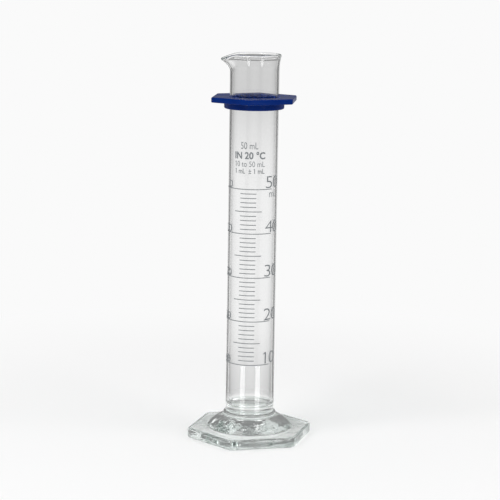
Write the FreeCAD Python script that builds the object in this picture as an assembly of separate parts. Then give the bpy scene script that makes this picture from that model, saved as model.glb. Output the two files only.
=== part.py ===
import FreeCAD
import Part
import math
import os
from FreeCAD import Vector

# A 50 mL glass measuring cylinder: a drawn tube with a flared, spouted rim, fused to a domed
# hexagonal foot, with enamel graduation lines and a sliding plastic guard.
# Millimetres, +Z up. The origin is on the tube's axis, in the plane that the foot stands on.
# The spout points along -X, and the graduation faces -Y.

# Glass tube
TUBE_OUTER_R = 13.0
TUBE_WALL = 1.4
RIM_Z = 206.3

# Flared rim, fire-polished
RIM_FLARE = 1.15
RIM_FLARE_HEIGHT = 8.6
RIM_WALL = 1.5
LIP_BREAK = 0.5

# Pouring spout
SPOUT_OVERHANG = 5.5
SPOUT_HEIGHT = 9.0
SPOUT_TIP_DROP = 2.8
SPOUT_HALF_WIDTH_DEG = 21.0
SPOUT_THINNING = 0.6
SPOUT_CURL = 1.75
SPOUT_SLOPE_SETBACK = 2.5
SPOUT_SLOPE_BEND_R = 12.0

# How the mouth is lofted: its outlines, where it starts in the wall, and what is trimmed off above
MOUTH_SECTIONS = 6
OUTLINE_POINTS = 20
OUTLINE_CROWDING = 0.6
MOUTH_ROOT = 2.0
MOUTH_SINK = 0.05
TRIM = 0.8

# Inside bottom of the tube
BOTTOM_ABOVE_DOME = 6.15
INNER_CORNER_R = 2.5

# Hexagonal foot
FOOT_ACROSS_FLATS = 60.0
FOOT_THICKNESS = 5.4
FOOT_CORNER_R = 4.5
FOOT_TOP_ROUND = 1.0
FOOT_BOTTOM_BREAK = 0.6
FOOT_TURN_DEG = -16.7
RECESS_R = 22.0
RECESS_SLOPE = 4.0
RECESS_DEPTH = 1.2

# Domed shoulder of the foot, and the bead of glass where the tube is fused to it
DOME_BASE_R = 22.8
DOME_CREST_INSET = 0.4
DOME_RISE = 6.1
DOME_FOOT_FILLET = 1.2
BEAD_PROUD = 1.3
BEAD_RISE = 2.5
BEAD_SHOULDER = 0.9

# Graduation: fired enamel lines, in millilitres
FIRST_MARK_ML = 10
LAST_MARK_ML = 50
MARK_THICKNESS = 0.04
MARK_WIDTH = 0.42
LONG_MARK_DEG = (-103.0, 49.0)
MEDIUM_MARK_DEG = (-45.0, 22.0)
SHORT_MARK_DEG = (-30.0, 8.4)
CUBIC_MM_PER_ML = 1000.0

# Plastic guard: a hexagonal flange over a round collar, sliding on the tube
GUARD_BELOW_RIM = 22.3
GUARD_OVERHANG = 5.5
GUARD_FLANGE_THICKNESS = 2.8
GUARD_CORNER_R = 1.6
GUARD_TURN_DEG = -6.0
GUARD_EDGE_BREAK = 0.4
COLLAR_WALL = 2.8
COLLAR_HEIGHT = 3.6
COLLAR_EDGE_BREAK = 0.8
GUARD_CLEARANCE = 0.10
GUARD_LEAD_IN = 0.4

BORE_R = TUBE_OUTER_R - TUBE_WALL
DOME_CREST_R = TUBE_OUTER_R - DOME_CREST_INSET
INNER_BOTTOM_Z = FOOT_THICKNESS + DOME_RISE + BOTTOM_ABOVE_DOME
INNER_FLARE = TUBE_OUTER_R + RIM_FLARE - RIM_WALL - BORE_R
FLARE_Z = RIM_Z - RIM_FLARE_HEIGHT
TUBE_TOP_Z = RIM_Z - RIM_FLARE_HEIGHT / 2
SPOUT_LOW_Z = RIM_Z - SPOUT_HEIGHT
SPOUT_TIP_Z = RIM_Z - SPOUT_TIP_DROP
SPOUT_REACH = TUBE_OUTER_R + SPOUT_OVERHANG
SPOUT_SLOPE_START = TUBE_OUTER_R - SPOUT_SLOPE_SETBACK
GUARD_BORE_R = TUBE_OUTER_R + GUARD_CLEARANCE
COLLAR_OUTER_R = GUARD_BORE_R + COLLAR_WALL
GUARD_TOP_Z = RIM_Z - GUARD_BELOW_RIM
AXIS = Vector(0, 0, 1)
ORIGIN = Vector(0, 0, 0)
FULL_TURN = 360.0


def at(r, z):
    """A point of a turned section, at radius r and height z."""
    return Vector(r, 0, z)


def line(start, end):
    """A straight edge between two points."""
    return Part.LineSegment(start, end).toShape()


def arc_about(centre, radius, start, end):
    """The shorter arc from start to end about a centre in the section's plane."""
    middle = (start + end) * 0.5 - centre
    middle.normalize()
    return Part.Arc(start, centre + middle * radius, end).toShape()


def turned(edges):
    """A solid of revolution about the tube's axis."""
    return Part.Face(Part.Wire(edges)).revolve(ORIGIN, AXIS, FULL_TURN)


def rounded_hexagon(across_flats, corner_r, turn_deg, z):
    """A face at height z, with one flat's normal turned by turn_deg from +X."""
    corner_ring = (across_flats / 2 - corner_r) / math.cos(math.pi / 6)
    ends = []
    for side in range(6):
        corner = math.radians(turn_deg + 60 * side + 30)
        centre = Vector(corner_ring * math.cos(corner), corner_ring * math.sin(corner), z)
        swing = [corner - math.pi / 6, corner, corner + math.pi / 6]
        ends.append([centre + Vector(math.cos(a), math.sin(a), 0) * corner_r for a in swing])
    edges = []
    for side in range(6):
        edges.append(Part.Arc(*ends[side]).toShape())
        edges.append(line(ends[side][2], ends[(side + 1) % 6][0]))
    return Part.Face(Part.Wire(edges))


def edges_at(shape, z):
    """The edges that lie wholly at height z."""
    return [e for e in shape.Edges if abs(e.BoundBox.ZMin - z) < 1e-4 and abs(e.BoundBox.ZMax - z) < 1e-4]


def flared_r(wall_r, spread, z):
    """The wall's radius at height z. The flare is an arc that leaves the straight wall tangentially."""
    arc_r = (RIM_FLARE_HEIGHT ** 2 + spread ** 2) / (2 * spread)
    return wall_r + arc_r - math.sqrt(arc_r ** 2 - max(0.0, z - FLARE_Z) ** 2)


def toward(centre, radius, other):
    """The point of a circle that faces another point."""
    step = other - centre
    step.normalize()
    return centre + step * radius


def body_outside():
    """The straight tube, the weld bead and the domed shoulder, as one turned solid."""
    dome_width = DOME_BASE_R - DOME_CREST_R
    dome_r = (dome_width ** 2 + DOME_RISE ** 2) / (2 * DOME_RISE)
    dome_top_z = FOOT_THICKNESS + DOME_RISE
    dome = at(DOME_CREST_R, dome_top_z - dome_r)

    skirt_z = FOOT_THICKNESS + DOME_FOOT_FILLET
    skirt_aside = math.sqrt((dome_r + DOME_FOOT_FILLET) ** 2 - (skirt_z - dome.z) ** 2)
    skirt = at(DOME_CREST_R + skirt_aside, skirt_z)
    bead_r = TUBE_OUTER_R + BEAD_PROUD
    neck = at(bead_r, dome.z + math.sqrt(dome_r ** 2 - (bead_r - dome.x) ** 2))
    weld = at(TUBE_OUTER_R, dome_top_z + BEAD_RISE)
    bead_top = at(bead_r, weld.z - BEAD_SHOULDER)

    core = at(0, FOOT_THICKNESS / 2)
    skirt_low = at(skirt.x, FOOT_THICKNESS / 2)
    skirt_top = at(skirt.x, FOOT_THICKNESS)
    dome_low = toward(dome, dome_r, skirt)
    return turned([
        line(core, skirt_low),
        line(skirt_low, skirt_top),
        arc_about(skirt, DOME_FOOT_FILLET, skirt_top, dome_low),
        arc_about(dome, dome_r, dome_low, neck),
        line(neck, bead_top),
        line(bead_top, weld),
        line(weld, at(TUBE_OUTER_R, TUBE_TOP_Z)),
        line(at(TUBE_OUTER_R, TUBE_TOP_Z), at(0, TUBE_TOP_Z)),
        line(at(0, TUBE_TOP_Z), core),
    ])


def bore_inside():
    """The hollow of the straight tube, with its rounded bottom."""
    corner = at(BORE_R - INNER_CORNER_R, INNER_BOTTOM_Z + INNER_CORNER_R)
    corner_low = at(corner.x, INNER_BOTTOM_Z)
    corner_high = at(BORE_R, corner.z)
    return turned([
        line(at(0, INNER_BOTTOM_Z), corner_low),
        arc_about(corner, INNER_CORNER_R, corner_low, corner_high),
        line(corner_high, at(BORE_R, TUBE_TOP_Z)),
        line(at(BORE_R, TUBE_TOP_Z), at(0, TUBE_TOP_Z)),
        line(at(0, TUBE_TOP_Z), at(0, INNER_BOTTOM_Z)),
    ])


def foot():
    """The pressed hexagonal slab, with softened edges and a shallow recess underneath."""
    slab = rounded_hexagon(FOOT_ACROSS_FLATS, FOOT_CORNER_R, FOOT_TURN_DEG, 0)
    slab = slab.extrude(AXIS * FOOT_THICKNESS)
    slab = slab.makeFillet(FOOT_TOP_ROUND, edges_at(slab, FOOT_THICKNESS))
    slab = slab.makeChamfer(FOOT_BOTTOM_BREAK, edges_at(slab, 0))
    recess = Part.makeCone(RECESS_R, RECESS_R - RECESS_SLOPE, RECESS_DEPTH, ORIGIN, AXIS)
    return slab.cut(recess)


def mouth_outline(round_r, reach, z):
    """The mouth's outline at height z: a circle, drawn out to reach along -X by the spout.

    Its points crowd towards the spout, where the outline bends most.
    """
    points = []
    for step in range(OUTLINE_POINTS):
        turn = 2 * math.pi * step / OUTLINE_POINTS - math.pi
        aside = turn - OUTLINE_CROWDING * math.sin(turn)
        bulge = math.exp(-(aside / math.radians(SPOUT_HALF_WIDTH_DEG)) ** 2)
        radius = round_r + max(0.0, reach - round_r) * bulge
        points.append(Vector(-radius * math.cos(aside), -radius * math.sin(aside), z))
    curve = Part.BSplineCurve()
    curve.interpolate(points, PeriodicFlag=True)
    return Part.Wire(curve.toShape())


def mouth(wall_r, spread, lift):
    """The flared and spouted mouth, lofted from just within the straight wall to above the rim."""
    low_z = FLARE_Z - MOUTH_ROOT
    outlines = []
    for step in range(MOUTH_SECTIONS):
        z = low_z + (RIM_Z + TRIM - low_z) * step / (MOUTH_SECTIONS - 1)
        share = max(0.0, z - lift - SPOUT_LOW_Z) / (SPOUT_TIP_Z - SPOUT_LOW_Z)
        reach = wall_r - MOUTH_SINK + SPOUT_OVERHANG * share ** SPOUT_CURL
        outlines.append(mouth_outline(flared_r(wall_r, spread, z) - MOUTH_SINK, reach, z))
    return Part.makeLoft(outlines, True)


def lip_bend():
    """The ends of the bend where the level rim turns down along the spout, and the slope's angle."""
    slope = math.atan2(SPOUT_TIP_DROP, SPOUT_REACH - SPOUT_SLOPE_START)
    reach = SPOUT_SLOPE_BEND_R * math.tan(slope / 2)
    level_end = at(reach - SPOUT_SLOPE_START, RIM_Z)
    slope_start = at(-SPOUT_SLOPE_START - reach * math.cos(slope), RIM_Z - reach * math.sin(slope))
    return level_end, slope_start, slope


def lip_z(x):
    """The height of the lip at x: level round the rim, and falling along the spout."""
    level_end, slope_start, slope = lip_bend()
    if x >= level_end.x:
        return RIM_Z
    if x <= slope_start.x:
        return slope_start.z + (x - slope_start.x) * math.tan(slope)
    drop = SPOUT_SLOPE_BEND_R - math.sqrt(SPOUT_SLOPE_BEND_R ** 2 - (level_end.x - x) ** 2)
    return RIM_Z - drop


def above_lip():
    """Everything above the lip's line, to trim the rim and the spout in one cut."""
    level_end, slope_start, _ = lip_bend()
    span = 2 * SPOUT_REACH
    bend_middle = at((level_end.x + slope_start.x) / 2, lip_z((level_end.x + slope_start.x) / 2))
    face = Part.Face(Part.Wire([
        line(at(span, RIM_Z), level_end),
        Part.Arc(level_end, bend_middle, slope_start).toShape(),
        line(slope_start, at(-span, lip_z(-span))),
        line(at(-span, lip_z(-span)), at(-span, RIM_Z + span)),
        line(at(-span, RIM_Z + span), at(span, RIM_Z + span)),
        line(at(span, RIM_Z + span), at(span, RIM_Z)),
    ]))
    face.translate(Vector(0, -span, 0))
    return face.extrude(Vector(0, 2 * span, 0))


def on_lip(points):
    """Whether every point lies on the lip's line."""
    return all(abs(p.z - lip_z(p.x)) < 1e-3 for p in points)


def lip_edges(shape):
    """The sharp edges that the trim leaves along the inside and outside of the lip."""
    found = []
    for edge in shape.Edges:
        if edge.Degenerated or not on_lip(edge.discretize(5)):
            continue
        faces = shape.ancestorsOfType(edge, Part.Face)
        if not all(on_lip([v.Point for v in face.Vertexes]) for face in faces):
            found.append(edge)
    return found


def glass_cylinder():
    """The whole glass: one fused piece."""
    outside = foot().fuse(body_outside()).fuse(mouth(TUBE_OUTER_R, RIM_FLARE, 0.0))
    inside = bore_inside().fuse(mouth(BORE_R, INNER_FLARE, SPOUT_THINNING))
    glass = outside.cut(inside).cut(above_lip()).removeSplitter()
    return glass.makeChamfer(LIP_BREAK, lip_edges(glass)).Solids[0]


def corner_volume():
    """What the rounded corner of the inside bottom takes from a plain flat-bottomed bore."""
    flat_r = BORE_R - INNER_CORNER_R
    square = BORE_R ** 2 - flat_r ** 2
    rounded = math.pi * flat_r * INNER_CORNER_R / 2 + 2 * INNER_CORNER_R ** 2 / 3
    return math.pi * INNER_CORNER_R * (square - rounded)


def level_z(millilitres):
    """The height that this volume of liquid reaches in the bore."""
    volume = millilitres * CUBIC_MM_PER_ML + corner_volume()
    return INNER_BOTTOM_Z + volume / (math.pi * BORE_R ** 2)


def mark(z, span_deg):
    """One enamel line on the tube. Azimuths run from -Y, positive towards +X."""
    outer = TUBE_OUTER_R + MARK_THICKNESS
    low = z - MARK_WIDTH / 2
    high = z + MARK_WIDTH / 2
    section = Part.Face(Part.makePolygon([
        at(TUBE_OUTER_R, low), at(outer, low), at(outer, high), at(TUBE_OUTER_R, high),
        at(TUBE_OUTER_R, low)]))
    section.rotate(ORIGIN, AXIS, span_deg[0] - 90)
    return section.revolve(ORIGIN, AXIS, span_deg[1] - span_deg[0])


def graduation_lines():
    """Long lines at the tens, medium ones at the fives and short ones between."""
    marks = []
    for millilitres in range(FIRST_MARK_ML, LAST_MARK_ML + 1):
        span = SHORT_MARK_DEG
        if millilitres % 10 == 0:
            span = LONG_MARK_DEG
        elif millilitres % 5 == 0:
            span = MEDIUM_MARK_DEG
        marks.append(mark(level_z(millilitres), span))
    return Part.makeCompound(marks)


def bumper_guard():
    """The plastic guard: a hexagonal flange over a collar, bored to slide on the tube."""
    flange_low_z = GUARD_TOP_Z - GUARD_FLANGE_THICKNESS
    collar_low_z = flange_low_z - COLLAR_HEIGHT
    across_flats = 2 * (COLLAR_OUTER_R + GUARD_OVERHANG)
    flange = rounded_hexagon(across_flats, GUARD_CORNER_R, GUARD_TURN_DEG, flange_low_z)
    flange = flange.extrude(AXIS * GUARD_FLANGE_THICKNESS)
    rims = edges_at(flange, flange_low_z) + edges_at(flange, GUARD_TOP_Z)
    flange = flange.makeChamfer(GUARD_EDGE_BREAK, rims)
    collar = Part.makeCylinder(COLLAR_OUTER_R, COLLAR_HEIGHT + GUARD_FLANGE_THICKNESS / 2,
                               at(0, collar_low_z), AXIS)
    collar = collar.makeChamfer(COLLAR_EDGE_BREAK, edges_at(collar, collar_low_z))
    mouth_r = GUARD_BORE_R + GUARD_LEAD_IN
    lead_low_z = collar_low_z + GUARD_LEAD_IN
    lead_high_z = GUARD_TOP_Z - GUARD_LEAD_IN
    bore = turned([
        line(at(0, collar_low_z), at(mouth_r, collar_low_z)),
        line(at(mouth_r, collar_low_z), at(GUARD_BORE_R, lead_low_z)),
        line(at(GUARD_BORE_R, lead_low_z), at(GUARD_BORE_R, lead_high_z)),
        line(at(GUARD_BORE_R, lead_high_z), at(mouth_r, GUARD_TOP_Z)),
        line(at(mouth_r, GUARD_TOP_Z), at(0, GUARD_TOP_Z)),
        line(at(0, GUARD_TOP_Z), at(0, collar_low_z)),
    ])
    return flange.fuse(collar).cut(bore).removeSplitter().Solids[0]


def main():
    os.makedirs("parts", exist_ok=True)
    nodes = {
        "glass_cylinder": glass_cylinder(),
        "graduation_lines": graduation_lines(),
        "bumper_guard": bumper_guard(),
    }
    for name, shape in nodes.items():
        shape.exportStep(f"parts/{name}.step")
        box = shape.BoundBox
        print(name, "valid", shape.isValid(), "solids", len(shape.Solids), "volume", round(shape.Volume, 1),
              "z", round(box.ZMin, 3), round(box.ZMax, 3), "x", round(box.XMin, 2), round(box.XMax, 2))


main()
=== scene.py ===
import logging
import math
from dataclasses import dataclass, field
from enum import Enum

import bmesh
import bpy
from mathutils import Matrix, Vector


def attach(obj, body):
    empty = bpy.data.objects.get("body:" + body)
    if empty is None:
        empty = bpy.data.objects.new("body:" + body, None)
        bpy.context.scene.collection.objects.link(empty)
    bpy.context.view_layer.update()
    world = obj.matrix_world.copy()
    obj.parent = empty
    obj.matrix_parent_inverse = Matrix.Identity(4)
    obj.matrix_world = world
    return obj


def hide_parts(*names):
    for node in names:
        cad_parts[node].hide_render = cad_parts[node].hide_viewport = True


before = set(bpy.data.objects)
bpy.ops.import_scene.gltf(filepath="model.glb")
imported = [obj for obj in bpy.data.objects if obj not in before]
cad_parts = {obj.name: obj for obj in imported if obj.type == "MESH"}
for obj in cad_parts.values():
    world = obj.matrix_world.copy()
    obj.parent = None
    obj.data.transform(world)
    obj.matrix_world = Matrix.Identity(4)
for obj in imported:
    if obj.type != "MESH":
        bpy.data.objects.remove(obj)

logging.basicConfig(level=logging.INFO, format="%(message)s")
LOG = logging.getLogger("measuring_cylinder")

MM = 0.001
MM3_PER_ML = 1000
FULL_TURN = 2 * math.pi
SIDES = 6
SIXTH = FULL_TURN / SIDES
WHITE = "#FFFFFF"

# Tolerances in millimetres
HAIR = 1e-6
FINE = 1e-5
MERGE = 1e-4
ON_AXIS = 1e-3

# Sockets of the Mix node, which has a pair and a result for each type of value
FACTOR = 0
FLOAT_A, FLOAT_B, FLOAT_MIX = 2, 3, 0
VECTOR_A, VECTOR_B, VECTOR_MIX = 4, 5, 1
COLOUR_A, COLOUR_B, COLOUR_MIX = 6, 7, 2

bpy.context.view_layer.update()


# Colours and nodes


def linear(hex_colour: str) -> tuple[float, float, float, float]:
    """Turn an sRGB hex colour into linear RGBA.

    Args:
        hex_colour: Six hex digits after a hash sign.

    Returns:
        The linear red, green, blue and an alpha of one.
    """
    channels = [int(hex_colour[i:i + 2], 16) / 255 for i in (1, 3, 5)]
    red, green, blue = (c / 12.92 if c <= 0.04045 else ((c + 0.055) / 1.055) ** 2.4 for c in channels)
    return red, green, blue, 1.0


def add_node(tree: bpy.types.NodeTree, kind: str, settings: dict[str | int, object] | None = None,
             links: dict[str | int, bpy.types.NodeSocket] | None = None) -> bpy.types.Node:
    """Add one node, with its settings, socket values and incoming links.

    Args:
        tree: The node tree to add to.
        kind: The node's type name.
        settings: Property or input socket names, with their values.
        links: Input socket names or numbers, with the output sockets that feed them.

    Returns:
        The new node.
    """
    node = tree.nodes.new(kind)
    for name, value in (settings or {}).items():
        if isinstance(name, int) or name in node.inputs:
            node.inputs[name].default_value = value
        else:
            setattr(node, name, value)
    for name, source in (links or {}).items():
        tree.links.new(source, node.inputs[name])
    return node


def new_material(name: str) -> tuple[bpy.types.Material, bpy.types.NodeTree]:
    """Make an empty node material.

    Args:
        name: The material's name.

    Returns:
        The material and its node tree.
    """
    material = bpy.data.materials.new(name)
    material.use_nodes = True
    material.node_tree.nodes.clear()
    return material, material.node_tree


# Finishes


@dataclass(frozen=True)
class BorosilicateGlass:
    """Borosilicate 3.3 glass: a drawn tube on a pressed foot.

    Clear, with a low index. The drawn wall carries faint lines along its length, the pressed
    foot gentle waves, and only the thick foot looks green-grey. A ray that the foot has trapped for
    so many bounces is let through, because it would end as a black spot.
    """

    tint: str = "#FAFAFA"
    ior: float = 1.473
    roughness: float = 0.012
    depth_tint: str = "#BFCFC9"
    absorption_per_m: float = 7.0
    shadow_tint: str = "#E2E5E4"
    trapped_after: int = 16
    draw_line_mm: float = 1.6
    draw_length_mm: float = 90.0
    draw_depth_mm: float = 0.06
    draw_strength: float = 0.12
    press_wave_mm: float = 7.0
    press_depth_mm: float = 0.6
    press_strength: float = 0.35
    foot_top_mm: float = 12.0
    takeover_mm: float = 4.0
    smear_span: tuple[float, float] = (0.35, 0.75)
    smear_gain: float = 2.5

    def make(self) -> bpy.types.Material:
        """Build the material.

        Returns:
            The material, with its surface and its volume.
        """
        material, tree = new_material("borosilicate_glass")
        place = add_node(tree, "ShaderNodeTexCoord").outputs["Object"]
        height = add_node(tree, "ShaderNodeSeparateXYZ", links={0: place}).outputs["Z"]
        in_tube = add_node(tree, "ShaderNodeMapRange", {
            "From Min": self.foot_top_mm * MM, "From Max": (self.foot_top_mm + self.takeover_mm) * MM},
            {"Value": height}).outputs["Result"]
        across, along = 1 / (self.draw_line_mm * MM), 1 / (self.draw_length_mm * MM)
        stretched = add_node(tree, "ShaderNodeMapping", {"Scale": (across, across, along)},
                             {"Vector": place}).outputs["Vector"]
        drawn = add_node(tree, "ShaderNodeTexNoise", {"Scale": 1.0, "Detail": 2.0},
                         {"Vector": stretched}).outputs["Fac"]
        pressed = add_node(tree, "ShaderNodeTexNoise", {
            "Scale": 1 / (self.press_wave_mm * MM), "Detail": 3.0}, {"Vector": place}).outputs["Fac"]
        tube_bump = add_node(tree, "ShaderNodeBump", {
            "Strength": self.draw_strength, "Distance": self.draw_depth_mm * MM},
            {"Height": drawn}).outputs["Normal"]
        foot_bump = add_node(tree, "ShaderNodeBump", {
            "Strength": self.press_strength, "Distance": self.press_depth_mm * MM},
            {"Height": pressed}).outputs["Normal"]
        normal = add_node(tree, "ShaderNodeMix", {"data_type": "VECTOR"}, {
            FACTOR: in_tube, VECTOR_A: foot_bump, VECTOR_B: tube_bump}).outputs[VECTOR_MIX]
        smear = add_node(tree, "ShaderNodeMapRange", {
            "From Min": self.smear_span[0], "From Max": self.smear_span[1], "To Min": self.roughness,
            "To Max": self.roughness * self.smear_gain}, {"Value": pressed}).outputs["Result"]
        surface = add_node(tree, "ShaderNodeBsdfPrincipled", {
            "Base Color": linear(self.tint), "IOR": self.ior, "Transmission Weight": 1.0},
            {"Roughness": smear, "Normal": normal}).outputs["BSDF"]
        path = add_node(tree, "ShaderNodeLightPath").outputs
        trapped = add_node(tree, "ShaderNodeMath", {"operation": "GREATER_THAN", 1: self.trapped_after},
                           {0: path["Ray Depth"]}).outputs[0]
        passes = add_node(tree, "ShaderNodeMath", {"operation": "MAXIMUM"},
                          {0: path["Is Shadow Ray"], 1: trapped}).outputs[0]
        let_through = add_node(tree, "ShaderNodeBsdfTransparent", {
            "Color": linear(self.shadow_tint)}).outputs[0]
        lit = add_node(tree, "ShaderNodeMixShader",
                       links={0: passes, 1: surface, 2: let_through}).outputs[0]
        depth = add_node(tree, "ShaderNodeVolumeAbsorption", {
            "Color": linear(self.depth_tint), "Density": self.absorption_per_m}).outputs["Volume"]
        add_node(tree, "ShaderNodeOutputMaterial", links={"Surface": lit, "Volume": depth})
        return material


@dataclass(frozen=True)
class FiredEnamel:
    """Screen-printed glass enamel, fired on.

    An opaque, slightly glossy film with a patchy edge and pinholes finer than the eye resolves,
    drawn here as a cloudy change of tone about half a millimetre across. Both its greys are
    painted shade: the enamel is white, darkened to how it looks with the light behind it.
    """

    # painted shade: both tones stand for white enamel seen with the light behind it; the patchy change
    # between them is the enamel's own
    colour: str = "#6E7275"
    thin_colour: str = "#8E9396"
    roughness: float = 0.42
    ior: float = 1.5
    patch_mm: float = 0.5
    patch_span: tuple[float, float] = (0.42, 0.72)
    patch_depth_mm: float = 0.02
    patch_strength: float = 0.3

    def make(self) -> bpy.types.Material:
        """Build the material.

        Returns:
            The material.
        """
        material, tree = new_material("fired_enamel")
        place = add_node(tree, "ShaderNodeTexCoord").outputs["Object"]
        patches = add_node(tree, "ShaderNodeTexNoise", {
            "Scale": 1 / (self.patch_mm * MM), "Detail": 2.0}, {"Vector": place}).outputs["Fac"]
        cover = add_node(tree, "ShaderNodeMapRange", {
            "From Min": self.patch_span[0], "From Max": self.patch_span[1]},
            {"Value": patches}).outputs["Result"]
        tone = add_node(tree, "ShaderNodeMix", {
            "data_type": "RGBA", COLOUR_A: linear(self.colour), COLOUR_B: linear(self.thin_colour)},
            {FACTOR: cover}).outputs[COLOUR_MIX]
        bump = add_node(tree, "ShaderNodeBump", {
            "Strength": self.patch_strength, "Distance": self.patch_depth_mm * MM},
            {"Height": patches}).outputs["Normal"]
        surface = add_node(tree, "ShaderNodeBsdfPrincipled", {
            "Roughness": self.roughness, "IOR": self.ior},
            {"Base Color": tone, "Normal": bump}).outputs["BSDF"]
        add_node(tree, "ShaderNodeOutputMaterial", links={"Surface": surface})
        return material


@dataclass(frozen=True)
class MouldedPolythene:
    """Injection-moulded polythene, coloured through.

    Saturated deep blue with a waxy gloss. The skin has a faint orange peel about a millimetre
    across, and slow flow marks that shift the gloss and the tone a little.
    """

    colour: str = "#011A5A"
    flow_colour: str = "#022C78"
    roughness: float = 0.24
    gloss_level: float = 0.05
    ior: float = 1.51
    peel_mm: float = 1.1
    peel_depth_mm: float = 0.05
    peel_strength: float = 0.15
    flow_mm: float = 14.0
    flow_swirl: float = 0.6
    flow_span: tuple[float, float] = (0.3, 0.7)
    gloss_span: tuple[float, float] = (0.8, 1.3)

    def make(self) -> bpy.types.Material:
        """Build the material.

        Returns:
            The material.
        """
        material, tree = new_material("moulded_polythene")
        place = add_node(tree, "ShaderNodeTexCoord").outputs["Object"]
        peel = add_node(tree, "ShaderNodeTexNoise", {
            "Scale": 1 / (self.peel_mm * MM), "Detail": 1.0}, {"Vector": place}).outputs["Fac"]
        flow = add_node(tree, "ShaderNodeTexNoise", {
            "Scale": 1 / (self.flow_mm * MM), "Detail": 3.0, "Distortion": self.flow_swirl},
            {"Vector": place}).outputs["Fac"]
        tone = add_node(tree, "ShaderNodeMix", {
            "data_type": "RGBA", COLOUR_A: linear(self.colour), COLOUR_B: linear(self.flow_colour)},
            {FACTOR: flow}).outputs[COLOUR_MIX]
        gloss = add_node(tree, "ShaderNodeMapRange", {
            "From Min": self.flow_span[0], "From Max": self.flow_span[1],
            "To Min": self.roughness * self.gloss_span[0],
            "To Max": self.roughness * self.gloss_span[1]}, {"Value": flow}).outputs["Result"]
        bump = add_node(tree, "ShaderNodeBump", {
            "Strength": self.peel_strength, "Distance": self.peel_depth_mm * MM},
            {"Height": peel}).outputs["Normal"]
        surface = add_node(tree, "ShaderNodeBsdfPrincipled", {
            "IOR": self.ior, "Specular IOR Level": self.gloss_level},
            {"Base Color": tone, "Roughness": gloss, "Normal": bump}).outputs["BSDF"]
        add_node(tree, "ShaderNodeOutputMaterial", links={"Surface": surface})
        return material


# Shaping tools


class Section:
    """A turned section, drawn point by point with a pen in the XZ plane, in millimetres."""

    def __init__(self, r: float, z: float) -> None:
        """Put the pen down.

        Args:
            r: Radius of the first point.
            z: Height of the first point.
        """
        self.bm = bmesh.new()
        self.first = self.bm.verts.new((r, 0, z))
        self.tip = self.first
        self.soft: list[tuple[bmesh.types.BMVert, float, int]] = []

    def line(self, r: float, z: float, soften: float = 0.0, segments: int = 5) -> None:
        """Draw a straight line.

        Args:
            r: Radius of its end.
            z: Height of its end.
            soften: How far from the end the corner there starts to round, or 0 to leave it.
            segments: Segments of that rounding.
        """
        made = bmesh.ops.extrude_vert_indiv(self.bm, verts=[self.tip])
        self.tip = made["verts"][0]
        self.tip.co = (r, 0, z)
        if soften:
            self.soft.append((self.tip, soften, segments))

    def arc(self, r: float, z: float, centre_r: float, centre_z: float, steps: int,
            soften: float = 0.0, segments: int = 4) -> None:
        """Draw the shorter arc about a centre.

        Args:
            r: Radius of its end.
            z: Height of its end.
            centre_r: Radius of the arc's centre.
            centre_z: Height of the arc's centre.
            steps: Segments of the arc.
            soften: How far from the end the corner there starts to round, or 0 to leave it.
            segments: Segments of that rounding.
        """
        start = math.atan2(self.tip.co.x - centre_r, self.tip.co.z - centre_z)
        end = math.atan2(r - centre_r, z - centre_z)
        angle = (end - start + math.pi) % FULL_TURN - math.pi
        made = bmesh.ops.spin(self.bm, geom=[self.tip], cent=(centre_r, 0, centre_z), axis=(0, 1, 0),
                              dvec=(0, 0, 0), angle=angle, steps=steps, use_merge=False,
                              use_duplicate=False)
        self.tip = [v for v in made["geom_last"] if isinstance(v, bmesh.types.BMVert)][0]
        self.tip.co = (r, 0, z)
        if soften:
            self.soft.append((self.tip, soften, segments))

    def close(self) -> None:
        """Join the pen's last point to its first."""
        self.bm.edges.new((self.tip, self.first))

    def turned(self, steps: int) -> bmesh.types.BMesh:
        """Round the soft corners, and turn the section about the Z axis into a closed skin.

        Args:
            steps: Faces round the full turn.

        Returns:
            The skin, with its seam and its poles merged.
        """
        for corner, offset, segments in self.soft:
            bmesh.ops.bevel(self.bm, geom=[corner], offset=offset, offset_type="OFFSET",
                            segments=segments, profile=0.5, affect="VERTICES", clamp_overlap=True,
                            material=-1)
        bmesh.ops.spin(self.bm, geom=self.bm.verts[:] + self.bm.edges[:], cent=(0, 0, 0),
                       axis=(0, 0, 1), dvec=(0, 0, 0), angle=FULL_TURN, steps=steps,
                       use_merge=True, use_duplicate=False)
        bmesh.ops.remove_doubles(self.bm, verts=self.bm.verts[:], dist=MERGE)
        return self.bm


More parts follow.
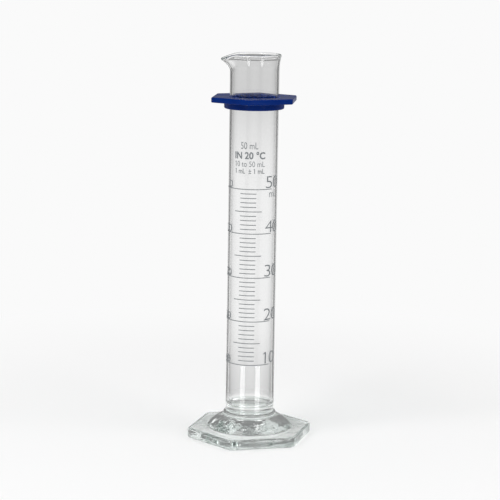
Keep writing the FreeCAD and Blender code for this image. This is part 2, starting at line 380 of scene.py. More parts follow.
@dataclass(frozen=True)
class Hexagon:
    """A regular hexagon with rounded corners, in millimetres."""

    apothem: float
    corner_r: float
    turn_deg: float
    least_corner_r: float = 0.2

    def radius(self, azimuth: float, inset: float) -> float:
        """The distance from the axis to the hexagon's side.

        Args:
            azimuth: Direction from +X, in radians.
            inset: How far inside the full hexagon the side lies.

        Returns:
            The distance along that direction.
        """
        turned = azimuth - math.radians(self.turn_deg)
        off = abs(turned - SIXTH * round(turned / SIXTH))
        apothem = self.apothem - inset
        corner = max(self.corner_r - inset, self.least_corner_r)
        ring = (apothem - corner) / math.cos(SIXTH / 2)
        if apothem * math.tan(off) <= (apothem - corner) * math.tan(SIXTH / 2):
            return apothem / math.cos(off)
        aside = SIXTH / 2 - off
        return ring * math.cos(aside) + math.sqrt(max(corner ** 2 - (ring * math.sin(aside)) ** 2, 0.0))

    def crowded(self, azimuth: float, share: float) -> float:
        """Draw a direction towards the nearest corner, where the outline bends.

        Args:
            azimuth: Direction from +X, in radians.
            share: 0 to leave the directions even, towards 1 to crowd them.

        Returns:
            The new direction.
        """
        corner = math.radians(self.turn_deg) + SIXTH / 2
        return azimuth - share / SIDES * math.sin(SIDES * (azimuth - corner))

    def drawn_out(self, r: float, azimuth: float, round_r: float, support: float) -> float:
        """Turn a circle's radius into the hexagon's, the more the further out it lies.

        Args:
            r: The radius on the turned skin.
            azimuth: Direction from +X, in radians.
            round_r: Radius up to which the skin stays round.
            support: Inset beyond which the outline no longer follows the hexagon fully.

        Returns:
            The radius on the hexagonal skin.
        """
        if r <= round_r:
            return r
        inset = self.apothem - r
        if inset <= support:
            return self.radius(azimuth, inset)
        share = (r - round_r) / (self.apothem - support - round_r)
        return round_r + share * (self.radius(azimuth, support) - round_r)


def new_object(bm: bmesh.types.BMesh, name: str, material: bpy.types.Material) -> bpy.types.Object:
    """Put a bmesh in metres into the scene as an object.

    Args:
        bm: The shape, which is freed.
        name: The object's name.
        material: Its material.

    Returns:
        The new object, at the origin.
    """
    mesh = bpy.data.meshes.new(name)
    bm.to_mesh(mesh)
    bm.free()
    mesh.materials.append(material)
    made = bpy.data.objects.new(name, mesh)
    bpy.context.scene.collection.objects.link(made)
    return made


def finished(bm: bmesh.types.BMesh, name: str, body: str, material: bpy.types.Material,
             smooth: bool = True) -> bpy.types.Object:
    """Turn a bmesh in millimetres into a piece in metres that rides on a body.

    Args:
        bm: The shape, which is freed.
        name: The piece's name.
        body: The body that it moves with.
        material: Its material.
        smooth: Whether its faces are shaded smooth.

    Returns:
        The new object.
    """
    bmesh.ops.recalc_face_normals(bm, faces=bm.faces[:])
    bmesh.ops.scale(bm, vec=(MM, MM, MM), verts=bm.verts[:])
    for face in bm.faces:
        face.smooth = smooth
    piece = new_object(bm, name, material)
    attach(piece, body)
    LOG.info("%s: %d faces, %d open edges", name, len(piece.data.polygons), open_edges(piece.data))
    return piece


def open_edges(mesh: bpy.types.Mesh) -> int:
    """Count the edges that don't join exactly two faces.

    Args:
        mesh: The mesh to look at.

    Returns:
        Their number, 0 where the skin is closed.
    """
    uses: dict[tuple[int, int], int] = {}
    for polygon in mesh.polygons:
        for key in polygon.edge_keys:
            uses[key] = uses.get(key, 0) + 1
    return sum(1 for count in uses.values() if count != 2)


# The glass


@dataclass
class GlassBody:
    """The glass: drawn tube, flared and spouted mouth, weld bead, dome and hexagonal foot.

    Sizes are in millimetres. A softening is how far from a corner its rounding starts, and a hold
    is how far from a corner an extra point keeps the faces beside it flat.
    """

    outer_r: float = 13.0
    wall: float = 1.4
    rim_z: float = 206.3
    flare_height: float = 8.6
    flare_out: float = 1.15
    flare_in: float = 1.05
    spout_overhang: float = 5.5
    spout_low_z: float = 197.3
    spout_tip_z: float = 203.5
    spout_half_width_deg: float = 21.0
    spout_thinning: float = 0.6
    spout_curl: float = 1.75
    slope_start: float = 10.5
    slope_bend_r: float = 12.0
    lip_round: float = 0.9
    bead_out: float = 0.1
    bead_in: float = 0.28
    bead_drop: float = 0.9
    bead_half_height: float = 1.1
    inner_bottom_z: float = 17.65
    inner_corner_r: float = 2.5
    inner_hold: float = 0.6
    wall_hold: float = 1.0
    foot: Hexagon = Hexagon(30.0, 4.5, -16.7)
    foot_thickness: float = 5.4
    foot_follow: float = 1.5
    lower_softening: float = 0.8
    lower_hold: float = 1.2
    upper_softening: float = 1.1
    upper_hold: float = 1.5
    dome_centre: tuple[float, float] = (12.6, -0.08)
    skirt: tuple[float, float] = (23.5, 6.6)
    skirt_r: float = 1.2
    skirt_hold: float = 0.5
    bead_centre: tuple[float, float] = (12.85, 12.6)
    bead_foot: tuple[float, float] = (13.73, 11.446)
    bead_softening: float = 0.3
    weld_z: float = 14.042
    weld_softening: float = 0.22
    recess_r: float = 22.0
    recess_slope: float = 4.0
    recess_depth: float = 1.2
    recess_softening: tuple[float, float] = (1.2, 0.9)
    skirt_steps: int = 8
    dome_steps: int = 20
    round_steps: int = 14
    lip_steps: int = 6
    courses: int = 26
    lean_probe: float = 0.3
    lip_tries: int = 10
    lip_easing: float = 0.8
    steps: int = 240
    crowding: float = 0.7

    @property
    def bore_r(self) -> float:
        """The radius of the bore."""
        return self.outer_r - self.wall

    def section(self) -> Section:
        """Draw the whole section: foot, dome, bead, straight outer wall, lip, bore and bottom.

        Returns:
            The section, open along the axis.
        """
        top = self.foot_thickness
        side = self.foot.apothem
        pen = Section(0, self.recess_depth)
        pen.line(self.recess_r - self.recess_slope, self.recess_depth, self.recess_softening[0])
        pen.line(self.recess_r, 0, self.recess_softening[1])
        pen.line(side - self.lower_hold, 0)
        pen.line(side, 0, self.lower_softening, segments=6)
        pen.line(side, top / 2)
        pen.line(side, top, self.upper_softening, segments=8)
        pen.line(side - self.upper_hold, top)
        pen.line(self.skirt[0] + self.skirt_hold, top)
        pen.line(self.skirt[0], top)
        away = Vector((self.skirt[0] - self.dome_centre[0], self.skirt[1] - self.dome_centre[1]))
        away.normalize()
        low = Vector(self.skirt) - away * self.skirt_r
        pen.arc(low.x, low.y, *self.skirt, self.skirt_steps)
        pen.arc(*self.bead_foot, *self.dome_centre, self.dome_steps, self.bead_softening)
        pen.arc(self.outer_r, self.weld_z, *self.bead_centre, self.round_steps, self.weld_softening)
        pen.line(self.outer_r, self.weld_z + self.wall_hold)
        wall_end = self.rim_z - self.lip_round
        mouth = wall_end - self.spout_low_z
        for step in range(self.courses + 1):
            pen.line(self.outer_r, self.spout_low_z + mouth * step / self.courses)
        middle = self.outer_r - self.wall / 2
        pen.arc(middle, wall_end + self.wall / 2, middle, wall_end, self.lip_steps)
        pen.arc(self.bore_r, wall_end, middle, wall_end, self.lip_steps)
        for step in range(1, self.courses + 1):
            pen.line(self.bore_r, wall_end - mouth * step / self.courses)
        corner_z = self.inner_bottom_z + self.inner_corner_r
        pen.line(self.bore_r, corner_z + self.wall_hold)
        pen.line(self.bore_r, corner_z)
        corner = self.bore_r - self.inner_corner_r
        pen.arc(corner, self.inner_bottom_z, corner, corner_z, self.round_steps)
        pen.line(corner - self.inner_hold, self.inner_bottom_z)
        pen.line(0, self.inner_bottom_z)
        return pen

    def flared(self, wall_r: float, spread: float, z: float) -> float:
        """The wall's radius where the flare leaves it tangentially.

        Args:
            wall_r: The straight wall's radius.
            spread: How far the flare has spread at the rim.
            z: Height.

        Returns:
            The radius at that height.
        """
        bend_r = (self.flare_height ** 2 + spread ** 2) / (2 * spread)
        climb = max(0.0, z - self.rim_z + self.flare_height)
        return wall_r + bend_r - math.sqrt(bend_r ** 2 - climb ** 2)

    def wall_r(self, azimuth: float, z: float, inside: bool) -> float:
        """The radius of the mouth's wall.

        Args:
            azimuth: Direction from +X, in radians.
            z: Height.
            inside: Whether the inner face is meant.

        Returns:
            The radius, drawn out along -X by the spout.
        """
        straight = self.bore_r if inside else self.outer_r
        lift = self.spout_thinning if inside else 0.0
        base = self.flared(straight, self.flare_in if inside else self.flare_out, z)
        share = max(0.0, z - lift - self.spout_low_z) / (self.spout_tip_z - self.spout_low_z)
        reach = straight + self.spout_overhang * share ** self.spout_curl
        aside = (azimuth % FULL_TURN) - math.pi
        bulge = math.exp(-(aside / math.radians(self.spout_half_width_deg)) ** 2)
        r = base + max(0.0, reach - base) * bulge
        below_lip = self.lip_z(r * math.cos(azimuth)) - z
        swell = math.exp(-((below_lip - self.bead_drop) / self.bead_half_height) ** 2)
        return r + swell * (-self.bead_in if inside else self.bead_out)

    def lip_z(self, x: float) -> float:
        """The lip's height: level round the rim, falling along the spout.

        Args:
            x: Place along the spout's direction, which is -X.

        Returns:
            The height there.
        """
        tip_x = self.outer_r + self.spout_overhang
        slope = math.atan2(self.rim_z - self.spout_tip_z, tip_x - self.slope_start)
        reach = self.slope_bend_r * math.tan(slope / 2)
        level_x = reach - self.slope_start
        slope_x = -self.slope_start - reach * math.cos(slope)
        if x >= level_x:
            return self.rim_z
        if x <= slope_x:
            return self.rim_z - reach * math.sin(slope) + (x - slope_x) * math.tan(slope)
        return self.rim_z - self.slope_bend_r + math.sqrt(self.slope_bend_r ** 2 - (level_x - x) ** 2)

    def wall_ends(self, azimuth: float) -> tuple[Vector, Vector, Vector]:
        """Where the wall's two faces end below the rounded lip.

        Args:
            azimuth: Direction from +X, in radians.

        Returns:
            The outer end, the inner end and the lip's rise, each as radius and height.
        """
        end_z = self.rim_z - self.lip_round
        for _ in range(self.lip_tries):
            outer = self.wall_r(azimuth, end_z, False)
            inner = self.wall_r(azimuth, end_z, True)
            above = self.wall_r(azimuth, end_z + self.lean_probe, False)
            below = self.wall_r(azimuth, end_z - self.lean_probe, False)
            lean = math.atan((above - below) / (2 * self.lean_probe))
            shift = (outer - inner) / 2 * math.sin(lean) * math.cos(lean)
            out_end = Vector((self.wall_r(azimuth, end_z - shift, False), end_z - shift))
            in_end = Vector((self.wall_r(azimuth, end_z + shift, True), end_z + shift))
            across = out_end - in_end
            rise = Vector((-across.y, across.x)).normalized() * self.lip_round
            apex = (out_end + in_end) / 2 + rise
            end_z += (self.lip_z(apex.x * math.cos(azimuth)) - apex.y) * self.lip_easing
        return out_end, in_end, rise

    def mouth_point(self, r: float, z: float, azimuth: float) -> tuple[float, float]:
        """Move a point of the straight wall to its place in the flared and spouted mouth.

        Args:
            r: Its radius on the straight wall.
            z: Its height there.
            azimuth: Direction from +X, in radians.

        Returns:
            Its new radius and height.
        """
        out_end, in_end, rise = self.wall_ends(azimuth)
        wall_end = self.rim_z - self.lip_round
        if z > wall_end + HAIR:
            side = (r - self.outer_r + self.wall / 2) / (self.wall / 2)
            cap = (z - wall_end) / (self.wall / 2)
            point = (out_end + in_end) / 2 + (out_end - in_end) / 2 * side + rise * cap
            return point.x, point.y
        inside = r < self.outer_r - self.wall / 2
        end_z = in_end.y if inside else out_end.y
        climb = (z - self.spout_low_z) / (wall_end - self.spout_low_z)
        new_z = self.spout_low_z + climb * (end_z - self.spout_low_z)
        return self.wall_r(azimuth, new_z, inside), new_z

    def build(self, material: bpy.types.Material) -> bpy.types.Object:
        """Turn the section, then press the foot and draw out the mouth.

        Args:
            material: The glass.

        Returns:
            The piece.
        """
        bm = self.section().turned(self.steps)
        for vert in bm.verts:
            r = math.hypot(vert.co.x, vert.co.y)
            if r < ON_AXIS:
                continue
            z = vert.co.z
            azimuth = self.foot.crowded(math.atan2(vert.co.y, vert.co.x), self.crowding)
            if z > self.spout_low_z:
                r, z = self.mouth_point(r, z, azimuth)
            elif z <= self.foot_thickness + HAIR:
                r = self.foot.drawn_out(r, azimuth, self.skirt[0], self.foot_follow)
            vert.co = (r * math.cos(azimuth), r * math.sin(azimuth), z)
        piece = finished(bm, "glass_body", "glass", material)
        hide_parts("glass_cylinder")
        return piece


# The graduation


class Edge(Enum):
    """Which edge of a wrapped word its azimuth gives."""

    LEFT = 0.0
    MIDDLE = 0.5
    RIGHT = 1.0


@dataclass(frozen=True)
class Word:
    """A wrapped word or number: its text, size in millimetres and place on the tube.

    The weight thickens or thins the font's strokes, and the spacing moves the figures apart.
    """

    text: str
    height: float
    width: float
    low_z: float
    azimuth_deg: float
    edge: Edge = Edge.MIDDLE
    weight: float = 0.0
    spacing: float = 1.0


DATA_BLOCK = (
    Word("50 mL", 3.6, 9.4, 157.4, -9.5),
    Word("IN 20 °C", 4.0, 17.0, 152.1, -9.0, weight=0.03),
    Word("10 to 50 mL", 2.9, 16.6, 148.1, -9.0),
    Word("1 mL  ± 1 mL", 2.6, 16.4, 144.5, -9.0, weight=0.01),
)


@dataclass
class Graduation:
    """The fired enamel: lines at each millilitre, numbers at the tens, and a plain data block."""

    tube_r: float = 13.0
    bore_r: float = 11.6
    bottom_z: float = 17.65
    corner_volume: float = 93.05
    film: float = 0.04
    key: float = 0.02
    line_width: float = 0.42
    first: int = 10
    last: int = 50
    long_every: int = 10
    medium_every: int = 5
    long_deg: tuple[float, float] = (-103.0, 49.0)
    medium_deg: tuple[float, float] = (-45.0, 22.0)
    short_deg: tuple[float, float] = (-30.0, 8.4)
    degrees_per_step: float = 2.0
    number_height: float = 6.4
    number_width: float = 9.9
    narrow_one: float = 1.3
    number_deg: float = 31.5
    number_weight: float = -0.01
    number_spacing: float = 0.88
    small_height: float = 3.8
    digit_width: float = 3.5
    digit_gap: float = 0.42
    small_deg: float = -54.5
    small_drop: float = 0.1
    unit_drop: float = 4.3
    lift: float = 0.55
    curve_steps: int = 6
    cut: float = 0.5
    plain_bars: str = "1I"
    bar_height: float = 0.8
    flag_reach: float = 0.14
    flag_stroke: float = 0.6

    def level(self, millilitres: float) -> float:
        """The height that this volume reaches in the bore."""
        volume = millilitres * MM3_PER_ML + self.corner_volume
        return self.bottom_z + volume / (math.pi * self.bore_r ** 2)

    def around(self, azimuth: float, r: float, z: float) -> tuple[float, float, float]:
        """The point at an azimuth measured from -Y towards +X, in radians."""
        return r * math.sin(azimuth), -r * math.cos(azimuth), z

    def line_into(self, bm: bmesh.types.BMesh, z: float, span_deg: tuple[float, float]) -> None:
        """Sweep one line's section round the tube.

        Args:
            bm: Where it is added.
            z: The line's middle height.
            span_deg: The azimuths of its ends.
        """
        start, end = (math.radians(d) for d in span_deg)
        low, high = z - self.line_width / 2, z + self.line_width / 2
        inner, outer = self.tube_r - self.key, self.tube_r + self.film
        corners = [(inner, low), (outer, low), (outer, high), (inner, high)]
        verts = [bm.verts.new(self.around(start, r, height)) for r, height in corners]
        cap = bm.faces.new(verts)
        steps = math.ceil((span_deg[1] - span_deg[0]) / self.degrees_per_step)
        bmesh.ops.spin(bm, geom=[cap, *cap.edges, *cap.verts], cent=(0, 0, 0), axis=(0, 0, 1),
                       dvec=(0, 0, 0), angle=end - start, steps=steps, use_merge=False,
                       use_duplicate=False)

    def lines(self, material: bpy.types.Material) -> bpy.types.Object:
        """Build every line as one piece.

        Args:
            material: The enamel.

        Returns:
            The piece.
        """
        bm = bmesh.new()
        for millilitres in range(self.first, self.last + 1):
            span = self.short_deg
            if millilitres % self.long_every == 0:
                span = self.long_deg
            elif millilitres % self.medium_every == 0:
                span = self.medium_deg
            self.line_into(bm, self.level(millilitres), span)
        piece = finished(bm, "enamel_lines", "glass", material, smooth=False)
        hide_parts("graduation_lines")
        return piece

    def words(self) -> list[Word]:
        """List the numbers, the unit and the plain data block above the scale.

        Returns:
            The words, in the order in which they are printed.
        """
        made = []
        for millilitres in range(self.first, self.last + 1, self.long_every):
            low = self.level(millilitres) + self.lift
            large = str(millilitres)
            width = self.number_width - (self.narrow_one if large.startswith("1") else 0)
            made.append(Word(large, self.number_height, width, low, self.number_deg, Edge.LEFT,
                             self.number_weight, self.number_spacing))
            small = str(self.last - millilitres)
            width = self.digit_width * len(small) + self.digit_gap * (len(small) - 1)
            made.append(Word(small, self.small_height, width, low - self.small_drop, self.small_deg,
                             Edge.RIGHT))
        made.append(Word("mL", height=3.8, width=5.8, low_z=self.level(self.last) - self.unit_drop,
                         azimuth_deg=41.5, edge=Edge.LEFT, weight=-0.008, spacing=0.9))
        return made + list(DATA_BLOCK)

    def flag_ones(self, bm: bmesh.types.BMesh, text: str, tall: float) -> None:
        """Give each figure one its flag, because the font's own is a plain bar.

        Args:
            bm: The flat text, its figures still apart from each other.
            text: What it says.
            tall: Its height.
        """
        bars = []
        left_over = set(bm.verts)
        while left_over:
            island, reached = set(), {left_over.pop()}
            while reached:
                vert = reached.pop()
                island.add(vert)
                reached |= {edge.other_vert(vert) for edge in vert.link_edges} - island
            left_over -= island
            xs, ys = [v.co.x for v in island], [v.co.y for v in island]
            if len(island) == 4 and max(ys) - min(ys) > self.bar_height * tall:
                bars.append((min(xs), max(xs), max(ys)))
        marks = [c for c in text if c in self.plain_bars]
        for mark, (left, right, top) in zip(marks, sorted(bars)):
            if mark == "1":
                reach, stroke = self.flag_reach * tall, right - left
                end, end_top = left - reach, top - reach
                outline = [(left, top), (left, top - stroke),
                           (end, end_top - stroke * self.flag_stroke), (end, end_top)]
                bm.faces.new([bm.verts.new((x, y, 0)) for x, y in outline])

    def word_mesh(self, word: Word) -> bmesh.types.BMesh:
        """Make one word as a thin film, wrapped on the tube.

        Args:
            word: What to write and where.

        Returns:
            The film, closed and cut finely enough to follow the tube.
        """
        curve = bpy.data.curves.new(word.text, "FONT")
        curve.body = word.text
        curve.resolution_u = self.curve_steps
        curve.offset = word.weight
        curve.space_character = word.spacing
        writing = bpy.data.objects.new(word.text, curve)
        flat = bpy.data.meshes.new_from_object(writing)
        bm = bmesh.new()
        bm.from_mesh(flat)
        bpy.data.objects.remove(writing)
        bpy.data.curves.remove(curve)
        bpy.data.meshes.remove(flat)
        bmesh.ops.remove_doubles(bm, verts=bm.verts[:], dist=FINE)
        low, high = (f(v.co.y for v in bm.verts) for f in (min, max))
        self.flag_ones(bm, word.text, high - low)
        left, right = (f(v.co.x for v in bm.verts) for f in (min, max))
        bmesh.ops.translate(bm, vec=(-left, -low, 0), verts=bm.verts[:])
        bmesh.ops.scale(bm, vec=(word.width / (right - left), word.height / (high - low), 1),
                        verts=bm.verts[:])
        for step in range(1, math.ceil(word.width / self.cut)):
            bmesh.ops.bisect_plane(bm, geom=bm.verts[:] + bm.edges[:] + bm.faces[:], dist=FINE,
                                   plane_co=(step * self.cut, 0, 0), plane_no=(1, 0, 0),
                                   clear_inner=False, clear_outer=False)
        made = bmesh.ops.extrude_face_region(bm, geom=bm.faces[:], use_keep_orig=True)
        tops = [v for v in made["geom"] if isinstance(v, bmesh.types.BMVert)]
        bmesh.ops.translate(bm, vec=(0, 0, self.film + self.key), verts=tops)
        start = math.radians(word.azimuth_deg) - word.edge.value * word.width / self.tube_r
        for vert in bm.verts:
            vert.co = self.around(start + vert.co.x / self.tube_r, self.tube_r - self.key + vert.co.z,
                                  word.low_z + vert.co.y)
        bmesh.ops.triangulate(bm, faces=bm.faces[:])
        return bm

    def numbers(self, material: bpy.types.Material) -> bpy.types.Object:
        """Build all the words and numbers as one piece.

        Args:
            material: The enamel.

        Returns:
            The piece.
        """
        whole = bmesh.new()
        for word in self.words():
            part = self.word_mesh(word)
            held = bpy.data.meshes.new("film")
            part.to_mesh(held)
            part.free()
            whole.from_mesh(held)
            bpy.data.meshes.remove(held)
        return finished(whole, "enamel_numbers", "glass", material, smooth=False)


# The guard


@dataclass
class BumperGuard:
    """The moulded guard: a hexagonal flange over a round collar, bored to slide on the tube.

    Sizes, softenings and holds are meant as in the glass.
    """

    bore_r: float = 13.1
    lead_in: float = 0.4
    lead_softening: float = 0.15
    lead_hold: float = 0.5
    top_z: float = 184.0
    flange: Hexagon = Hexagon(21.4, 1.6, -6.0)
    flange_thickness: float = 2.8
    flange_follow: float = 1.0
    edge_softening: float = 0.55
    edge_hold: float = 1.0
    collar_r: float = 15.9
    collar_low_z: float = 177.6
    collar_softening: float = 0.8
    collar_hold: float = 0.4
    throat_softening: float = 0.5
    throat_hold: float = 0.9
    round_beyond: float = 0.6
    steps: int = 240
    crowding: float = 0.8

    def section(self) -> Section:
        """Draw the section of the flange, the collar and the bore.

        Returns:
            The section, closed.
        """
        under = self.top_z - self.flange_thickness
        side = self.flange.apothem
        mouth_r = self.bore_r + self.lead_in
        pen = Section(self.bore_r, self.collar_low_z + self.lead_in)
        pen.line(self.bore_r, self.top_z - self.lead_in, self.lead_softening, segments=3)
        pen.line(mouth_r, self.top_z, self.lead_softening, segments=3)
        pen.line(mouth_r + self.lead_hold, self.top_z)
        pen.line(side - self.edge_hold, self.top_z)
        pen.line(side, self.top_z, self.edge_softening, segments=6)
        pen.line(side, under, self.edge_softening, segments=6)
        pen.line(side - self.edge_hold, under)
        pen.line(self.collar_r + self.edge_hold, under)
        pen.line(self.collar_r, under, self.throat_softening)
        pen.line(self.collar_r, under - self.throat_hold)
        pen.line(self.collar_r, self.collar_low_z, self.collar_softening, segments=8)
        pen.line(mouth_r + self.collar_hold, self.collar_low_z)
        pen.line(mouth_r, self.collar_low_z, self.lead_softening, segments=3)
        pen.close()
        return pen

    def build(self, material: bpy.types.Material) -> bpy.types.Object:
        """Turn the section, then draw the flange out to its hexagon.

        Args:
            material: The plastic.

        Returns:
            The piece.
        """
        bm = self.section().turned(self.steps)
        for vert in bm.verts:
            r = math.hypot(vert.co.x, vert.co.y)
            azimuth = self.flange.crowded(math.atan2(vert.co.y, vert.co.x), self.crowding)
            r = self.flange.drawn_out(r, azimuth, self.collar_r + self.round_beyond, self.flange_follow)
            vert.co = (r * math.cos(azimuth), r * math.sin(azimuth), vert.co.z)
        piece = finished(bm, "guard", "guard", material)
        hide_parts("bumper_guard")
        return piece


# The studio


@dataclass(frozen=True)
class Card:
    """A bright studio strip beside the object.

    In the upright plane at its azimuth, it runs from its near end to its far end, each given as
    distance from the axis and height, so that it may stand, lie or lean.
    """

    name: str
    azimuth_deg: float
    near_end: tuple[float, float]
    far_end: tuple[float, float]
    width: float
    brightness: float


@dataclass(frozen=True)
class Lamp:
    """A square soft lamp: its name, place and side in metres, and power in watts."""

    name: str
    place: tuple[float, float, float]
    side: float
    power: float


@dataclass
class Studio:
    """The pale floor, the soft lamps, the strips that the glass mirrors, and the camera.

    Lengths are in metres, angles of the camera in radians. A fade is a pair of distances from the
    axis, and a sector row is degrees off the line of sight with the level there.
    """

    background: str = "#FAFAFA"
    world_level: float = 0.56
    mirrored_level: float = 0.3
    ceiling_level: float = 0.03
    ceiling_rise: tuple[float, float] = (-0.03, 0.02)
    floor_r: float = 9.0
    floor_sides: int = 96
    floor_drop: float = 0.0001
    shadow_fade: tuple[float, float] = (0.1, 0.34)
    near_fade: tuple[float, float] = (0.08, 0.3)
    near_level: float = 0.8
    far_fade: tuple[float, float] = (0.8, 2.3)
    far_level: float = 0.72
    glass_fade: tuple[float, float] = (0.05, 0.1)
    front_edge: float = 0.05
    lens_mm: float = 129.13
    sensor_mm: float = 36.0
    clip: tuple[float, float] = (0.01, 50.0)
    camera_place: tuple[float, float, float] = (0.0, -0.944, 0.268665)
    pitch: float = 0.175
    roll: float = 0.0156
    yaw: float = -0.0011
    sectors: tuple[tuple[float, float], ...] = ((6, 1.0), (19, 0.72), (25, 0.2), (38, 0.2), (43, 0.95))
    grey_front_share: float = 0.5
    glass_bounces: int = 28
    strips: list[Card] = field(default_factory=lambda: [
        Card("strip_left", -32.0, (0.07, 0.0), (0.07, 0.0268), 0.026, 7.0),
        Card("strip_right", 33.5, (0.07, 0.0), (0.07, 0.0268), 0.026, 7.0),
        Card("lip_strip_left", -27.0, (0.06, 0.174), (0.12, 0.174), 0.018, 6.0),
        Card("lip_strip_right", 31.0, (0.06, 0.174), (0.12, 0.174), 0.018, 6.0),
    ])
    aim: tuple[float, float, float] = (0.0, 0.0, 0.09)
    lamps: tuple[Lamp, ...] = (Lamp("key", (-1.1, -1.0, 1.6), 1.2, 19.8),
                               Lamp("fill", (1.3, -0.7, 1.2), 1.2, 9.9))

    def seen_directly(self, tree: bpy.types.NodeTree) -> bpy.types.NodeSocket:
        """Add a switch that is 1 for camera, glossy and transmission rays.

        Args:
            tree: The node tree to add to.

        Returns:
            The switch's socket.
        """
        path = add_node(tree, "ShaderNodeLightPath").outputs
        seen = add_node(tree, "ShaderNodeMath", {"operation": "MAXIMUM"},
                        {0: path["Is Camera Ray"], 1: path["Is Glossy Ray"]}).outputs[0]
        return add_node(tree, "ShaderNodeMath", {"operation": "MAXIMUM"},
                        {0: seen, 1: path["Is Transmission Ray"]}).outputs[0]

    def make_world(self) -> None:
        """Give an even soft light, and show the background's colour where it is seen directly."""
        world = bpy.data.worlds.new("studio")
        world.use_nodes = True
        tree = world.node_tree
        tree.nodes.clear()
        light = add_node(tree, "ShaderNodeBackground", {
            "Color": linear(WHITE), "Strength": self.world_level}).outputs[0]
        path = add_node(tree, "ShaderNodeLightPath").outputs
        direction = add_node(tree, "ShaderNodeTexCoord").outputs["Generated"]
        up = add_node(tree, "ShaderNodeSeparateXYZ", links={0: direction}).outputs["Z"]
        ceiling = add_node(tree, "ShaderNodeMapRange", {
            "interpolation_type": "SMOOTHSTEP", "From Min": self.ceiling_rise[0],
            "From Max": self.ceiling_rise[1], "To Min": 1.0, "To Max": self.ceiling_level},
            {"Value": up}).outputs["Result"]
        refracted = add_node(tree, "ShaderNodeMix", {"data_type": "FLOAT", FLOAT_A: 1.0}, {
            FACTOR: path["Is Transmission Ray"], FLOAT_B: ceiling}).outputs[FLOAT_MIX]
        level = add_node(tree, "ShaderNodeMix", {"data_type": "FLOAT", FLOAT_B: self.mirrored_level}, {
            FACTOR: path["Is Glossy Ray"], FLOAT_A: refracted}).outputs[FLOAT_MIX]
        direct = add_node(tree, "ShaderNodeBackground", {"Color": linear(self.background)},
                          {"Strength": level}).outputs[0]
        mixed = add_node(tree, "ShaderNodeMixShader",
                         links={0: self.seen_directly(tree), 1: light, 2: direct}).outputs[0]
        add_node(tree, "ShaderNodeOutputWorld", links={"Surface": mixed})
        bpy.context.scene.world = world

    def surround(self, tree: bpy.types.NodeTree, place: bpy.types.NodeSocket,
                 away: bpy.types.NodeSocket) -> bpy.types.NodeSocket:
        """Add the level of the surroundings as the glass shows them, reflected or refracted.

        Grey papers lie in four sectors beside the lines of sight from the front and the back, so
        that the glass keeps dark edges, and the sweep greys with distance.

        Args:
            tree: The floor's node tree.
            place: The point on the floor.
            away: Its distance from the axis.

        Returns:
            The level's socket.
        """
        split = add_node(tree, "ShaderNodeSeparateXYZ", links={0: place}).outputs
        sides = [add_node(tree, "ShaderNodeMath", {"operation": "ABSOLUTE"}, {0: split[axis]}).outputs[0]
                 for axis in ("X", "Y")]
        off = add_node(tree, "ShaderNodeMath", {"operation": "ARCTAN2"},
                       {0: sides[0], 1: sides[1]}).outputs[0]
        share = add_node(tree, "ShaderNodeMath", {"operation": "DIVIDE", 1: math.pi / 2},
                         {0: off}).outputs[0]
        ramp = add_node(tree, "ShaderNodeValToRGB", links={0: share})
        stops = ramp.color_ramp.elements
        stops[0].position, stops[1].position = 0.0, 1.0
        for off_deg, level in self.sectors:
            stops.new(math.radians(off_deg) / (math.pi / 2)).color = (level, level, level, 1.0)
        stops[0].color = stops[-1].color = (1.0, 1.0, 1.0, 1.0)
        in_front = add_node(tree, "ShaderNodeMapRange", {
            "From Min": self.front_edge, "From Max": -self.front_edge,
            "To Max": self.grey_front_share}, {"Value": split["Y"]}).outputs["Result"]
        sector = add_node(tree, "ShaderNodeMix", {"data_type": "FLOAT", FLOAT_B: 1.0}, {
            FACTOR: in_front, FLOAT_A: ramp.outputs["Color"]}).outputs[FLOAT_MIX]
        near = add_node(tree, "ShaderNodeMapRange", {
            "interpolation_type": "SMOOTHSTEP", "From Min": self.near_fade[0],
            "From Max": self.near_fade[1], "To Min": self.near_level},
            {"Value": away}).outputs["Result"]
        far = add_node(tree, "ShaderNodeMapRange", {
            "interpolation_type": "SMOOTHSTEP", "From Min": self.far_fade[0],
            "From Max": self.far_fade[1], "To Min": 1.0, "To Max": self.far_level},
            {"Value": away}).outputs["Result"]
        sweep = add_node(tree, "ShaderNodeMath", {"operation": "MULTIPLY"}, {0: near, 1: far}).outputs[0]
        return add_node(tree, "ShaderNodeMath", {"operation": "MULTIPLY"},
                        {0: sector, 1: sweep}).outputs[0]

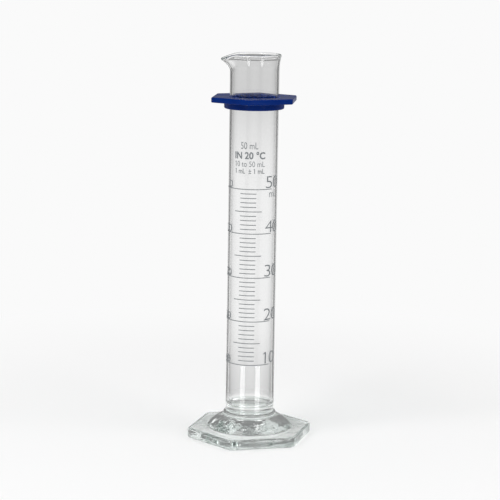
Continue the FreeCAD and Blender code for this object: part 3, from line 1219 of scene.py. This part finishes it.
    def make_floor(self) -> None:
        """Lay a pale floor that keeps the object's shadow and ends in the background's colour."""
        bm = bmesh.new()
        bmesh.ops.create_circle(bm, cap_ends=True, segments=self.floor_sides, radius=self.floor_r)
        bmesh.ops.translate(bm, vec=(0, 0, -self.floor_drop), verts=bm.verts[:])
        material, tree = new_material("pale_floor")
        place = add_node(tree, "ShaderNodeTexCoord").outputs["Object"]
        away = add_node(tree, "ShaderNodeVectorMath", {"operation": "LENGTH"},
                        {0: place}).outputs["Value"]
        far = add_node(tree, "ShaderNodeMapRange", {
            "interpolation_type": "SMOOTHSTEP", "From Min": self.shadow_fade[0],
            "From Max": self.shadow_fade[1]}, {"Value": away}).outputs["Result"]
        camera = add_node(tree, "ShaderNodeLightPath").outputs["Is Camera Ray"]
        share = add_node(tree, "ShaderNodeMath", {"operation": "MULTIPLY"},
                         {0: far, 1: camera}).outputs[0]
        paper = add_node(tree, "ShaderNodeBsdfDiffuse", {
            "Color": linear(self.background)}).outputs[0]
        shown = add_node(tree, "ShaderNodeEmission", {
            "Color": linear(self.background), "Strength": 1.0}).outputs[0]
        plain = add_node(tree, "ShaderNodeMixShader", links={0: share, 1: paper, 2: shown}).outputs[0]
        around = add_node(tree, "ShaderNodeEmission", {"Color": linear(self.background)},
                          {"Strength": self.surround(tree, place, away)}).outputs[0]
        beyond = add_node(tree, "ShaderNodeMapRange", {
            "interpolation_type": "SMOOTHSTEP", "From Min": self.glass_fade[0],
            "From Max": self.glass_fade[1]}, {"Value": away}).outputs["Result"]
        only_in_glass = add_node(tree, "ShaderNodeMath", {"operation": "SUBTRACT"},
                                 {0: self.seen_directly(tree), 1: camera}).outputs[0]
        in_glass = add_node(tree, "ShaderNodeMath", {"operation": "MULTIPLY"},
                            {0: beyond, 1: only_in_glass}).outputs[0]
        mixed = add_node(tree, "ShaderNodeMixShader", links={0: in_glass, 1: plain, 2: around}).outputs[0]
        add_node(tree, "ShaderNodeOutputMaterial", links={"Surface": mixed})
        new_object(bm, "floor", material)

    def set_card(self, card: Card) -> None:
        """Set a card beside the object, where only a reflection shows it.

        Args:
            card: The card's place, size and brightness.
        """
        near, far = Vector(card.near_end), Vector(card.far_end)
        along = far - near
        middle = (near + far) / 2
        bm = bmesh.new()
        bmesh.ops.create_grid(bm, x_segments=1, y_segments=1, size=0.5)
        bmesh.ops.scale(bm, vec=(card.width, along.length, 1), verts=bm.verts[:])
        bmesh.ops.rotate(bm, cent=(0, 0, 0), verts=bm.verts[:],
                         matrix=Matrix.Rotation(math.pi - math.atan2(along.y, along.x), 3, "X"))
        bmesh.ops.translate(bm, vec=(0, -middle.x, middle.y), verts=bm.verts[:])
        bmesh.ops.rotate(bm, cent=(0, 0, 0), verts=bm.verts[:],
                         matrix=Matrix.Rotation(math.radians(card.azimuth_deg), 3, "Z"))
        material, tree = new_material(card.name)
        glow = add_node(tree, "ShaderNodeEmission", {
            "Color": linear(WHITE), "Strength": card.brightness}).outputs[0]
        add_node(tree, "ShaderNodeOutputMaterial", links={"Surface": glow})
        stood = new_object(bm, card.name, material)
        stood.visible_camera = False
        stood.visible_diffuse = False
        stood.visible_shadow = False
        stood.visible_volume_scatter = False
        stood.visible_transmission = False

    def hang_lamp(self, lamp: Lamp) -> None:
        """Hang a lamp that faces the object's middle.

        Args:
            lamp: Its place, side and power.
        """
        light = bpy.data.lights.new(lamp.name, "AREA")
        light.shape = "SQUARE"
        light.size = lamp.side
        light.energy = lamp.power
        hung = bpy.data.objects.new(lamp.name, light)
        hung.location = lamp.place
        facing = Vector(self.aim) - Vector(lamp.place)
        hung.rotation_euler = facing.to_track_quat("-Z", "Y").to_euler()
        bpy.context.scene.collection.objects.link(hung)

    def place_camera(self) -> None:
        """Set the camera at the photograph's angle."""
        data = bpy.data.cameras.new("camera")
        data.lens = self.lens_mm
        data.sensor_width = self.sensor_mm
        data.clip_start, data.clip_end = self.clip
        camera = bpy.data.objects.new("camera", data)
        bpy.context.scene.collection.objects.link(camera)
        turn = (Matrix.Rotation(-self.yaw, 4, "Z") @ Matrix.Rotation(math.pi / 2 - self.pitch, 4, "X")
                @ Matrix.Rotation(self.roll, 4, "Z"))
        camera.matrix_world = Matrix.Translation(self.camera_place) @ turn
        bpy.context.scene.camera = camera

    def build(self) -> None:
        """Set up the whole studio."""
        self.place_camera()
        self.make_world()
        self.make_floor()
        for strip in self.strips:
            self.set_card(strip)
        for lamp in self.lamps:
            self.hang_lamp(lamp)
        scene = bpy.context.scene
        scene.view_settings.view_transform = "Standard"
        scene.cycles.max_bounces = self.glass_bounces
        scene.cycles.glossy_bounces = self.glass_bounces
        scene.cycles.transmission_bounces = self.glass_bounces


def main() -> None:
    """Build the measuring cylinder and its studio."""
    Studio().build()
    glass = BorosilicateGlass().make()
    enamel = FiredEnamel().make()
    polythene = MouldedPolythene().make()
    graduation = Graduation()
    pieces = [
        GlassBody().build(glass),
        graduation.lines(enamel),
        graduation.numbers(enamel),
        BumperGuard().build(polythene),
    ]
    LOG.info("pieces: %s", ", ".join(piece.name for piece in pieces))


if __name__ == "__main__":
    main()
